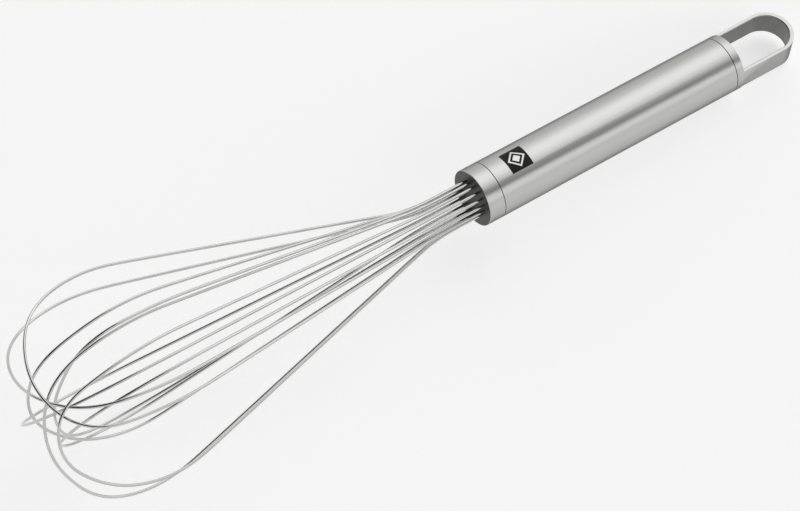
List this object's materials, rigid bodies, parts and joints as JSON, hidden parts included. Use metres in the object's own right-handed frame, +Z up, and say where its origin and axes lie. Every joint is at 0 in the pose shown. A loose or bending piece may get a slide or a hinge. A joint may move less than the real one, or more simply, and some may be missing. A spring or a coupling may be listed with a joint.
{
  "type": "balloon whisk",
  "caption": "Balloon whisk with a round tubular satin steel handle, a flat hanging eye and spring-wire loops held in a front collar.",
  "frame": {"origin": "middle of the box that holds the whisk, on the surface it lies on", "axes": "+X along the handle towards the hanging eye, +Z up; the handle's axis falls towards +X by 6.4 degrees"},
  "size_m": [0.3296, 0.0766, 0.0789],
  "materials": {
    "wire_steel": "polished stainless spring wire",
    "satin_steel": "satin brushed along the handle",
    "potting": "cast epoxy",
    "badge_enamel": "black enamel inlay"
  },
  "bodies": {
    "root": {"wire_loop_1": "wire_steel", "wire_loop_2": "wire_steel", "wire_loop_3": "wire_steel", "wire_loop_4": "wire_steel", "wire_loop_5": "wire_steel", "wire_loop_6": "wire_steel", "wire_loop_7": "wire_steel", "wire_loop_8": "wire_steel", "front_collar": "satin_steel", "handle_tube": "satin_steel", "end_cap": "satin_steel", "inner_wire_plate": "satin_steel", "wire_potting": "potting", "badge": "badge_enamel"}
  },
  "joints": []
}
